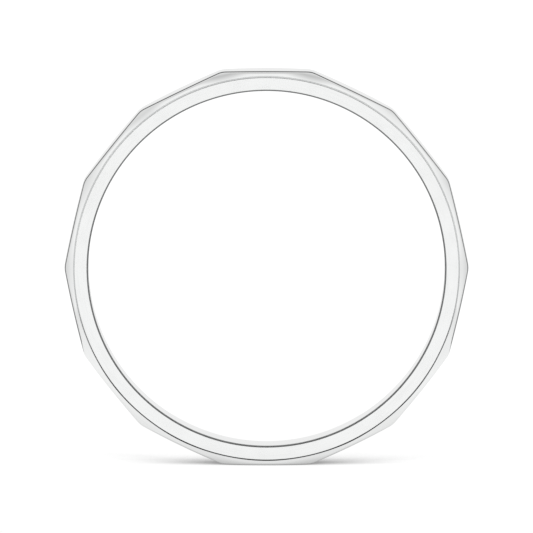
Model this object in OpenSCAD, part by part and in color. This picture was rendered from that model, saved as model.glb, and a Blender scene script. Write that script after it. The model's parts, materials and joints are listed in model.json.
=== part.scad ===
// Wedding band built of two rings: a straight inner sleeve, and a domed outer band
// with flats cut all round it. The ring stands on one of its flats, with the finger
// axis along Y and the centre of the bore at the origin. Millimetres.

/* [Ring] */
// Inside diameter, which sets the ring size
inner_d = 17.3; // [14:0.1:22]
// Width of the ring along the finger
band_w = 2; // [1.8:0.1:3]

/* [Inner sleeve] */
// Wall of the sleeve, which shows as the flat side of the ring
sleeve_wall = 0.68; // [0.5:0.02:1]
// Chamfer at each end of the bore
bore_chamfer = 0.08; // [0.04:0.01:0.12]
// Chamfer on the sleeve's outer corners, which shows as a fine line at the seam
seam_chamfer = 0.03; // [0.02:0.01:0.05]

/* [Faceted band] */
// Height of the dome above the sleeve, before the flats are cut
dome_rise = 0.49; // [0.44:0.01:0.6]
// Metal left above the sleeve at the middle of each flat
flat_wall = 0.3; // [0.2:0.01:0.34]
// Number of flats round the band
flats = 14; // [12:1:20]

/* [Hidden] */

round_fn = 180;
half_w = band_w / 2;
bore_r = inner_d / 2;
seam_r = bore_r + sleeve_wall;
crown_r = seam_r + dome_rise;
// Radius of the arc that rises from the seam at one side to the crown and back
dome_r = (half_w * half_w + dome_rise * dome_rise) / (2 * dome_rise);
flat_r = seam_r + flat_wall;
flat_step = 360 / flats;
ridge_r = flat_r / cos(flat_step / 2);

// Turns a shape made round Z so that its axis lies along Y
module along_finger() {
    rotate([90, 0, 0]) children();
}

// Section of the sleeve: a tall rectangle with broken corners
module sleeve_section() {
    polygon([
        [bore_r, bore_chamfer - half_w],
        [bore_r + bore_chamfer, -half_w],
        [seam_r - seam_chamfer, -half_w],
        [seam_r, seam_chamfer - half_w],
        [seam_r, half_w - seam_chamfer],
        [seam_r - seam_chamfer, half_w],
        [bore_r + bore_chamfer, half_w],
        [bore_r, half_w - bore_chamfer]
    ]);
}

// Section of the uncut band: the part of a circle that lies above the sleeve
module dome_section() {
    intersection() {
        translate([crown_r - dome_r, 0]) circle(r = dome_r, $fn = round_fn);
        translate([seam_r, -band_w]) square([2 * dome_rise, 2 * band_w]);
    }
}

// Prism whose faces are the flats, with one face below and a ridge at each side
module flats_prism() {
    linear_extrude(height = 2 * band_w, center = true)
        polygon([
            for (i = [0 : flats - 1])
                ridge_r * [sin((i + 0.5) * flat_step), -cos((i + 0.5) * flat_step)]
        ]);
}

module inner_sleeve() {
    color("gainsboro")
        along_finger()
            rotate_extrude($fn = round_fn) sleeve_section();
}

module faceted_band() {
    color("silver")
        along_finger()
            intersection() {
                rotate_extrude($fn = round_fn) dome_section();
                flats_prism();
            }
}

inner_sleeve();
faceted_band();
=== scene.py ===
import json
import math

import bpy
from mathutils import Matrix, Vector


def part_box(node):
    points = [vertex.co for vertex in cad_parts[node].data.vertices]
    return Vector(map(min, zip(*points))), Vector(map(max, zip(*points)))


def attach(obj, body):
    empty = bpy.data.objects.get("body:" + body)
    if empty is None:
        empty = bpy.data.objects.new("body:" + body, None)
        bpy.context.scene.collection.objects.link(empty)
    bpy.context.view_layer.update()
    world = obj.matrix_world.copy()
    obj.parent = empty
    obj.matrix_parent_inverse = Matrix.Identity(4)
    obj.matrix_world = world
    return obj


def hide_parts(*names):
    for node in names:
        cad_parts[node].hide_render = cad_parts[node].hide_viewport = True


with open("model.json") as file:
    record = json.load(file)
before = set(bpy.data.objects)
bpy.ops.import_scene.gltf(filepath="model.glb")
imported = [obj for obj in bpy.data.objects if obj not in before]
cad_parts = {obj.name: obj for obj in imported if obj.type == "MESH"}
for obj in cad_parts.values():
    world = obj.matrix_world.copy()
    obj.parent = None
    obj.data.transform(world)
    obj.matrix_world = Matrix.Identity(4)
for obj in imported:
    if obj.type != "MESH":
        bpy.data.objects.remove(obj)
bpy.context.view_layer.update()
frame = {"record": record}

MM = 0.001
TURN = 2 * math.pi

# Sizes that come from the CAD model
bore_mount = next(m for m in frame["record"]["mounts"] if m["name"] == "finger_bore")
BORE_R = bore_mount["dims"]["r_mm"] * MM
SEAM_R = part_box("inner_sleeve")[1].x
HALF_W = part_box("inner_sleeve")[1].y
FLAT_R = -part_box("faceted_band")[0].z

FLATS = 14                     # flats round the band, the first of them straight down

# Sleeve
BORE_EDGE = 0.093 * MM         # rounding at each end of the bore
SEAM_EDGE = 0.016 * MM         # rounding on the outer corners of the side faces

# Band: the shoulder rises from the seam and is steeper at the ridges.
# Each pair gives the value at the middle of a flat, and the value at a ridge.
LAND = (0.064 * MM, 0.05 * MM)                # narrow land at the band's foot, beside the seam
SHOULDER_R = (1.5 * MM, 2.6 * MM)             # radius of the shoulder's arc
SLOPE = (math.radians(27), math.radians(35))  # lean of the shoulder at its foot
LAND_LEAN = math.radians(10)   # the land dips towards the seam
EDGE_R = 0.3 * MM              # rounding between shoulder and flat
BOW = 0.04 * MM                # how far the middle of a flat stands over its ends
RIDGE_BLEND = 0.08 * MM        # softness of the ridge between two flats

# Fineness of the meshes
SUPPORT = 0.02 * MM            # distance from a rounding to the next row
CREASE = 0.004 * MM            # the same at a sharp corner
WALL_ROW = HALF_W / 3          # rows in a straight wall, this far from its middle
FLAT_ROWS = (0.9, 0.6, 0.3)    # rows on a flat, as shares of the way to its edge
BORE_STEPS = 10
SEAM_STEPS = 6
SHOULDER_STEPS = 20
EDGE_STEPS = 14
SLEEVE_COLUMNS = 720
FLAT_COLUMNS = 48              # columns in one flat


# ---------------------------------------------------------------- meshes

def add_object(name, data):
    obj = bpy.data.objects.new(name, data)
    bpy.context.scene.collection.objects.link(obj)
    return obj


def arc(centre, radius, start, end, steps):
    """Points on an arc in the (r, y) plane. An angle of 0 faces the front, 90 degrees outward."""
    points = []
    for i in range(steps + 1):
        a = start + (end - start) * i / steps
        points.append((centre[0] + radius * math.sin(a), centre[1] - radius * math.cos(a)))
    return points


def swept_ring(name, columns):
    """A closed ring. Each column is (angle from straight down, closed profile of (r, y) points)."""
    rows = len(columns[0][1])
    verts = []
    for angle, profile in columns:
        for r, y in profile:
            verts.append((r * math.sin(angle), y, -r * math.cos(angle)))
    faces = []
    count = len(columns)
    for c in range(count):
        here, after = c * rows, (c + 1) % count * rows
        for i in range(rows):
            j = (i + 1) % rows
            faces.append((here + i, after + i, after + j, here + j))
    mesh = bpy.data.meshes.new(name)
    mesh.from_pydata(verts, [], faces)
    mesh.update()
    mesh.shade_smooth()
    return add_object(name, mesh)


def mirrored(front_half):
    """The front half of a profile, which begins and ends near the middle, and its mirror image."""
    return front_half + [(r, -y) for r, y in reversed(front_half)]


def sleeve_profile():
    """The sleeve's section: a rectangle with rounded corners."""
    quarter = math.pi / 2
    bore_centre = (BORE_R + BORE_EDGE, BORE_EDGE - HALF_W)
    seam_centre = (SEAM_R - SEAM_EDGE, SEAM_EDGE - HALF_W)
    half = [(BORE_R, -WALL_ROW), (BORE_R, bore_centre[1] + SUPPORT)]
    half += arc(bore_centre, BORE_EDGE, -quarter, 0, BORE_STEPS)
    half += [(bore_centre[0] + SUPPORT, -HALF_W), ((BORE_R + SEAM_R) / 2, -HALF_W)]
    half += [(seam_centre[0] - SUPPORT, -HALF_W)]
    half += arc(seam_centre, SEAM_EDGE, 0, quarter, SEAM_STEPS)
    half += [(SEAM_R, seam_centre[1] + SUPPORT), (SEAM_R, -WALL_ROW)]
    return mirrored(half)


def flat_height(offset):
    """Radius at which a flat is met, at an angle from its own middle."""
    across = math.tan(offset) / math.tan(math.pi / FLATS)
    return (FLAT_R - BOW * across ** 2) / math.cos(offset)


def top_radius(offset):
    """Radius of the band's top: the lower of two neighbouring flats, smoothed where they meet."""
    own = flat_height(offset)
    neighbour = flat_height(TURN / FLATS - abs(offset))
    nearness = max(RIDGE_BLEND - abs(own - neighbour), 0) / RIDGE_BLEND
    return min(own, neighbour) - nearness ** 2 * RIDGE_BLEND / 4


def along_flat(pair, offset):
    """A value that runs smoothly from the middle of a flat to the ridges."""
    ridge_share = (1 - math.cos(FLATS * offset)) / 2
    return pair[0] + (pair[1] - pair[0]) * ridge_share


def band_foot(width):
    """The band's inner face, and the land that dips towards the seam."""
    dip = width * math.tan(LAND_LEAN)
    inner = [(SEAM_R, -WALL_ROW)]
    inner += [(SEAM_R, depth - HALF_W) for depth in (dip + SUPPORT, dip + CREASE, dip)]
    shares = (CREASE / width, 1 - CREASE / width, 1)
    return inner + [(SEAM_R + width * share, dip * (1 - share) - HALF_W) for share in shares]


def band_profile(offset):
    """The band's section: foot, shoulder, the shoulder's rounded edge, and the flat on top."""
    slope = along_flat(SLOPE, offset)
    bend = along_flat(SHOULDER_R, offset)
    top = top_radius(offset)
    foot = band_foot(along_flat(LAND, offset))
    centre = (foot[-1][0] - bend * math.sin(slope), -HALF_W + bend * math.cos(slope))
    # The lean at which the shoulder runs into its rounded edge, with no corner between them
    meet = math.asin((top - EDGE_R - centre[0]) / (bend - EDGE_R))
    start = slope + CREASE / bend
    shoulder = arc(centre, bend, start, meet, SHOULDER_STEPS)[:-1]
    edge_centre = (top - EDGE_R, centre[1] - (bend - EDGE_R) * math.cos(meet))
    edge = arc(edge_centre, EDGE_R, meet, math.pi / 2, EDGE_STEPS)
    flat = [(top, edge[-1][1] * share) for share in FLAT_ROWS]
    return mirrored(foot + shoulder + edge + flat)


def build_sleeve():
    profile = sleeve_profile()
    columns = [(TURN * i / SLEEVE_COLUMNS, profile) for i in range(SLEEVE_COLUMNS)]
    return swept_ring("polished_sleeve", columns)


def build_band():
    columns = []
    half_step = math.pi / FLATS
    for flat in range(FLATS):
        for i in range(FLAT_COLUMNS):
            # The columns crowd together towards both ridges
            offset = half_step * math.sin(math.pi * (i / FLAT_COLUMNS - 0.5))
            columns.append((TURN * flat / FLATS + offset, band_profile(offset)))
    return swept_ring("polished_band", columns)


# ---------------------------------------------------------------- node helpers

class Nodes:
    """Short calls for a node tree."""

    def __init__(self, owner):
        owner.use_nodes = True
        self.tree = owner.node_tree
        self.tree.nodes.clear()

    def add(self, kind, **settings):
        node = self.tree.nodes.new(kind)
        for key, value in settings.items():
            setattr(node, key, value)
        return node

    def link(self, out_socket, in_socket):
        self.tree.links.new(out_socket, in_socket)

    def feed(self, socket, value):
        """Link another node's socket, or set a plain value."""
        if isinstance(value, bpy.types.NodeSocket):
            self.link(value, socket)
        else:
            socket.default_value = value

    def math(self, operation, a, b=0.0):
        node = self.add("ShaderNodeMath", operation=operation)
        self.feed(node.inputs[0], a)
        self.feed(node.inputs[1], b)
        return node.outputs[0]

    def remap(self, value, span, result):
        """The value's span, eased over to the two ends of the result."""
        node = self.add("ShaderNodeMapRange", clamp=True, interpolation_type="SMOOTHSTEP")
        self.feed(node.inputs["Value"], value)
        for socket, number in zip(("From Min", "From Max", "To Min", "To Max"), span + result):
            node.inputs[socket].default_value = number
        return node.outputs["Result"]

    def vector(self, x, y, z):
        node = self.add("ShaderNodeCombineXYZ")
        for socket, value in zip(node.inputs, (x, y, z)):
            self.feed(socket, value)
        return node.outputs[0]

    def split(self, vector):
        node = self.add("ShaderNodeSeparateXYZ")
        self.link(vector, node.inputs[0])
        return node.outputs

    def noise(self, vector, w, detail):
        node = self.add("ShaderNodeTexNoise", noise_dimensions="4D")
        self.link(vector, node.inputs["Vector"])
        self.feed(node.inputs["W"], w)
        node.inputs["Scale"].default_value = 1.0
        node.inputs["Detail"].default_value = detail
        return node.outputs["Fac"]

    def blend(self, factor, a, b):
        """A blend of two colours. They and the result have numbered sockets on a Mix node."""
        node = self.add("ShaderNodeMix", data_type="RGBA")
        self.feed(node.inputs["Factor"], factor)
        self.feed(node.inputs[6], a)
        self.feed(node.inputs[7], b)
        return node.outputs[2]

    def ramp(self, value, stops):
        """A ramp of greys over 0 to 1, with stops of (place, brightness)."""
        node = self.add("ShaderNodeValToRGB")
        elements = node.color_ramp.elements
        elements.remove(elements[-1])
        for i, (place, tone) in enumerate(stops):
            element = elements[0] if i == 0 else elements.new(place)
            element.position = place
            element.color = (tone, tone, tone, 1)
        self.link(value, node.inputs[0])
        return node.outputs[0]


# ---------------------------------------------------------------- metal

WHITE_METAL = (0.885, 0.892, 0.889)
BORE_PAINTED_SHADE = (0.22, 0.225, 0.225)        # painted shade: the dark colour of the corner at each end of the bore
SEAM_PAINTED_SHADE = (0.6, 0.61, 0.61)           # painted shade: the dark colour of the land beside the seam, between the two parts
SLEEVE_ROUGHNESS = 0.05
BAND_ROUGHNESS = 0.04
BORE_SATIN = 0.5                        # roughness added on that corner
BORE_FADE = (0.8, 1.05)                 # shares of the corner's width over which its painted shade ends
SEAM_SATIN = 0.1                        # roughness added on that land
SEAM_DEPTH = 0.2 * MM                   # how deep the land's painted shade reaches from the side face
MARK_DEPTH = 0.0002 * MM                # depth of the turning lines

# Marks on the polish: spacing across the ring, changes in a turn, and detail of the noise
TURNING_LINES = (0.06 * MM, 6.0, 3.0)
SMEARS = (0.9 * MM, 9.0, 3.0)
SCRATCHES = (0.11 * MM, 60.0, 4.0)
SCRATCH_SHARE = 0.5                     # height of the scratches beside that of the lines

# How each mark comes in: a span of its pattern, and what it adds at the two ends of that span,
# in roughness for a polish and in the share of the mark's own colour for a shade
WORN_POLISH = ((0.5, 0.6), (0.0, 0.03))
LINE_POLISH = ((0.35, 0.65), (-0.02, 0.03))
SMEAR_POLISH = ((0.4, 0.7), (0.0, 0.05))
SMEAR_SHADE = ((0.35, 0.65), (0.0, 1.0))
LINE_SHADE = ((0.3, 0.5), (1.0, 0.0))
SMEAR_TONE = 0.985                      # share of the metal's brightness that a smear keeps
LINE_TONE = 0.955                       # the same for a turning line


def opaque(tone, share=1.0):
    """A share of a tone, in the form that a colour socket takes."""
    return tuple(share * channel for channel in tone) + (1,)


def ring_coordinates(n):
    """Places on the ring, from its object coordinates: r, y, and the angle's sine and cosine."""
    x, y, z = n.split(n.add("ShaderNodeTexCoord").outputs["Object"])
    length = n.add("ShaderNodeVectorMath", operation="LENGTH")
    n.link(n.vector(x, 0.0, z), length.inputs[0])
    r = length.outputs["Value"]
    return r, y, n.math("DIVIDE", x, r), n.math("DIVIDE", z, r)


def grain(n, place, spacing, changes, detail):
    """Noise drawn out round the ring."""
    r, y, sine, cosine = place
    along = (n.math("MULTIPLY", sine, changes), n.math("MULTIPLY", cosine, changes))
    vector = n.vector(*along, n.math("DIVIDE", y, spacing))
    return n.noise(vector, n.math("DIVIDE", r, spacing), detail)


def near_side(n, y, depth):
    """1 at the side faces of the ring, falling to 0 at a depth below them."""
    return n.remap(n.math("ABSOLUTE", y), (HALF_W - depth, HALF_W - depth / 2), (0.0, 1.0))


def sleeve_edges(n, place):
    """A mask of the rounded corner at each end of the bore, for its satin and its painted shade."""
    r, y = place[0], place[1]
    fade = tuple(BORE_R + BORE_EDGE * share for share in BORE_FADE)
    inside = n.remap(r, fade, (1.0, 0.0))
    return n.math("MULTIPLY", inside, near_side(n, y, BORE_EDGE / 2))


def band_edges(n, place):
    """A mask of the land at the foot of the shoulder, for its satin and its painted shade."""
    r, y = place[0], place[1]
    low = n.remap(r, (SEAM_R + LAND[1], SEAM_R + LAND[0]), (1.0, 0.0))
    return n.math("MULTIPLY", low, near_side(n, y, SEAM_DEPTH))


def polished_metal(name, roughness, edge_mask, painted_edge_shade, edge_satin):
    """Polished white metal: fine turning lines, faint smears, worn corners, and darker edge lines
    of painted shade.
    """
    material = bpy.data.materials.new(name)
    n = Nodes(material)
    shader = n.add("ShaderNodeBsdfPrincipled")
    shader.inputs["Metallic"].default_value = 1.0
    out = n.add("ShaderNodeOutputMaterial")
    n.link(shader.outputs[0], out.inputs["Surface"])

    place = ring_coordinates(n)
    lines = grain(n, place, *TURNING_LINES)
    smears = grain(n, place, *SMEARS)
    scratches = grain(n, place, *SCRATCHES)
    edges = edge_mask(n, place)

    worn = n.remap(n.add("ShaderNodeNewGeometry").outputs["Pointiness"], *WORN_POLISH)
    marks = n.math("ADD", n.remap(lines, *LINE_POLISH), n.remap(smears, *SMEAR_POLISH))
    polish = n.math("ADD", marks, n.math("ADD", worn, roughness))
    satin = n.math("MULTIPLY", edges, edge_satin)
    n.link(n.math("ADD", polish, satin), shader.inputs["Roughness"])

    smeared = opaque(WHITE_METAL, SMEAR_TONE)
    shaded = n.blend(n.remap(smears, *SMEAR_SHADE), opaque(WHITE_METAL), smeared)
    lined = n.blend(n.remap(lines, *LINE_SHADE), shaded, opaque(WHITE_METAL, LINE_TONE))
    # painted shade: the edge mask blends the base colour over to the dark edge tone
    n.link(n.blend(edges, lined, opaque(painted_edge_shade)), shader.inputs["Base Color"])

    bump = n.add("ShaderNodeBump")
    bump.inputs["Strength"].default_value = 1.0
    bump.inputs["Distance"].default_value = MARK_DEPTH
    height = n.math("ADD", lines, n.math("MULTIPLY", scratches, SCRATCH_SHARE))
    n.link(height, bump.inputs["Height"])
    n.link(bump.outputs[0], shader.inputs["Normal"])
    return material


# ---------------------------------------------------------------- camera

CAMERA_LENS = 1200.0
SENSOR = 36.0
CLIP = (0.01, 10.0)
FIELD = 25.9 * MM               # width of the view at the ring
ELEVATION = math.radians(6.2)   # the camera looks down this steeply
AIM = (-0.003 * MM, 0, 0.003 * MM)   # the point it looks at, close to the centre of the bore


def add_camera():
    data = bpy.data.cameras.new("camera")
    data.lens = CAMERA_LENS
    data.sensor_width = SENSOR
    data.clip_start, data.clip_end = CLIP
    camera = add_object("camera", data)
    distance = FIELD * CAMERA_LENS / SENSOR
    back = distance * math.cos(ELEVATION)
    camera.location = (AIM[0], AIM[1] - back, AIM[2] + distance * math.sin(ELEVATION))
    camera.rotation_euler = (math.pi / 2 - ELEVATION, 0, 0)
    bpy.context.scene.camera = camera


# ---------------------------------------------------------------- floor

FLOOR_R = 21 * MM               # radius of the round part, behind and beside the ring
FLOOR_STEPS = 48
# In front it widens: half of its full width there, and where that width starts and ends
FLOOR_FRONT = (320 * MM, -400 * MM, -1500 * MM)
FLOOR_LIGHT = 1.02              # the most light that the glowing floor gives
SHADOW_REACH = 30 * MM          # how far off the ring still darkens the floor with painted shadow
SHADOW_LEAN = (0, -0.7, 0.71)   # lean of the painted shadow, as if the light came from the front and above
SHADOW_SAMPLES = 16
SHADOW_GAIN = 1.3               # strength of the floor's painted light, which whitens all but the covered floor
MIRROR_GAIN = 1.0               # the same in the metal's reflection of the floor
SHADOW_LIFT = 0.02              # brightness of the floor in the deepest painted shadow, where no painted light comes
POOL = (13 * MM, 30 * MM)       # distances to each side over which the painted pool of light fades
POOL_FADE = 0.85                # how much of it is left beyond them


def floor_outline():
    """A half circle behind the ring, and a wide apron in front."""
    back = []
    for i in range(FLOOR_STEPS + 1):
        angle = math.pi * i / FLOOR_STEPS
        back.append((FLOOR_R * math.cos(angle), FLOOR_R * math.sin(angle)))
    wide, start, end = FLOOR_FRONT
    return back + [(-wide, start), (-wide, end), (wide, end), (wide, start)]


def floor_with_painted_shadow():
    """A white floor that glows by itself, with a painted shadow where the ring closes it off and a
    painted pool of light that fades to each side.
    """
    material = bpy.data.materials.new("floor_with_painted_shadow")
    n = Nodes(material)
    # painted shadow: ambient occlusion from the ring darkens the floor's glow
    open_share = n.add("ShaderNodeAmbientOcclusion", samples=SHADOW_SAMPLES)
    open_share.inputs["Distance"].default_value = SHADOW_REACH
    n.link(n.vector(*SHADOW_LEAN), open_share.inputs["Normal"])
    is_mirrored = n.add("ShaderNodeLightPath").outputs["Is Glossy Ray"]
    gain = n.math("ADD", n.math("MULTIPLY", is_mirrored, MIRROR_GAIN - SHADOW_GAIN), SHADOW_GAIN)
    x = n.split(n.add("ShaderNodeTexCoord").outputs["Object"])[0]
    # painted pool of light: the floor's glow fades to each side
    pool = n.remap(n.math("ABSOLUTE", x), POOL, (1.0, POOL_FADE))
    reached = n.math("MULTIPLY", open_share.outputs["AO"], pool)
    light = n.math("ADD", n.math("MULTIPLY", reached, gain), SHADOW_LIFT)
    lit = n.add("ShaderNodeEmission")
    n.link(n.math("MINIMUM", light, FLOOR_LIGHT), lit.inputs["Strength"])
    out = n.add("ShaderNodeOutputMaterial")
    n.link(lit.outputs[0], out.inputs["Surface"])
    return material


def add_floor(height):
    outline = floor_outline()
    mesh = bpy.data.meshes.new("floor")
    mesh.from_pydata([(x, y, height) for x, y in outline], [], [tuple(range(len(outline)))])
    mesh.materials.append(floor_with_painted_shadow())
    floor = add_object("floor", mesh)


# ---------------------------------------------------------------- studio

# What the polished metal mirrors: an angle in degrees from straight in front (0) to straight
# behind (180), the brightness there in the middle, and the brightness out to the sides
STUDIO_TONES = (
    (0, 0.06, 0.06), (42, 0.08, 0.08), (47, 1.0, 1.0), (62, 1.0, 1.0), (78, 0.6, 0.97),
    (90, 0.87, 0.75), (102, 0.85, 0.78), (106, 0.05, 0.12), (118, 0.08, 0.15),
    (126, 0.1, 0.45), (140, 0.7, 0.8), (165, 0.93, 0.93), (180, 0.87, 0.87),
)
# How far the brightness goes over to that of the sides, from the left (-1) to the right (1)
SIDE_SHARES = ((-1.0, 0.85), (-0.6, 0.35), (-0.25, 0.0), (0.25, 0.0), (0.6, 0.9), (1.0, 0.8))
ROOM_LIGHT = 1.1                # even brightness of the room to everything else


def add_world():
    world = bpy.data.worlds.new("studio")
    bpy.context.scene.world = world
    n = Nodes(world)
    world.cycles.sampling_method = "NONE"
    x, y, _ = n.split(n.add("ShaderNodeTexCoord").outputs["Generated"])
    turn = n.math("DIVIDE", n.math("ARCCOSINE", n.math("MULTIPLY", y, -1.0)), math.pi)
    overhead = n.ramp(turn, [(angle / 180, tone) for angle, tone, _ in STUDIO_TONES])
    sideways = n.ramp(turn, [(angle / 180, tone) for angle, _, tone in STUDIO_TONES])
    across = n.math("ADD", n.math("MULTIPLY", x, 0.5), 0.5)
    side_share = n.ramp(across, [((place + 1) / 2, share) for place, share in SIDE_SHARES])
    mirrored_room = n.add("ShaderNodeBackground")
    n.link(n.blend(side_share, overhead, sideways), mirrored_room.inputs["Color"])
    even_room = n.add("ShaderNodeBackground")
    even_room.inputs["Color"].default_value = (1, 1, 1, 1)
    even_room.inputs["Strength"].default_value = ROOM_LIGHT
    mix = n.add("ShaderNodeMixShader")
    n.link(n.add("ShaderNodeLightPath").outputs["Is Glossy Ray"], mix.inputs[0])
    n.link(even_room.outputs[0], mix.inputs[1])
    n.link(mirrored_room.outputs[0], mix.inputs[2])
    out = n.add("ShaderNodeOutputWorld")
    n.link(mix.outputs[0], out.inputs["Surface"])


# ---------------------------------------------------------------- the ring

sleeve = build_sleeve()
sleeve.data.materials.append(
    polished_metal("sleeve_polish", SLEEVE_ROUGHNESS, sleeve_edges, BORE_PAINTED_SHADE, BORE_SATIN))
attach(sleeve, "root")
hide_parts("inner_sleeve")

band = build_band()
band.data.materials.append(
    polished_metal("band_polish", BAND_ROUGHNESS, band_edges, SEAM_PAINTED_SHADE, SEAM_SATIN))
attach(band, "root")
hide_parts("faceted_band")

add_floor(-FLAT_R)
add_world()
add_camera()
bpy.context.scene.view_settings.view_transform = "Standard"
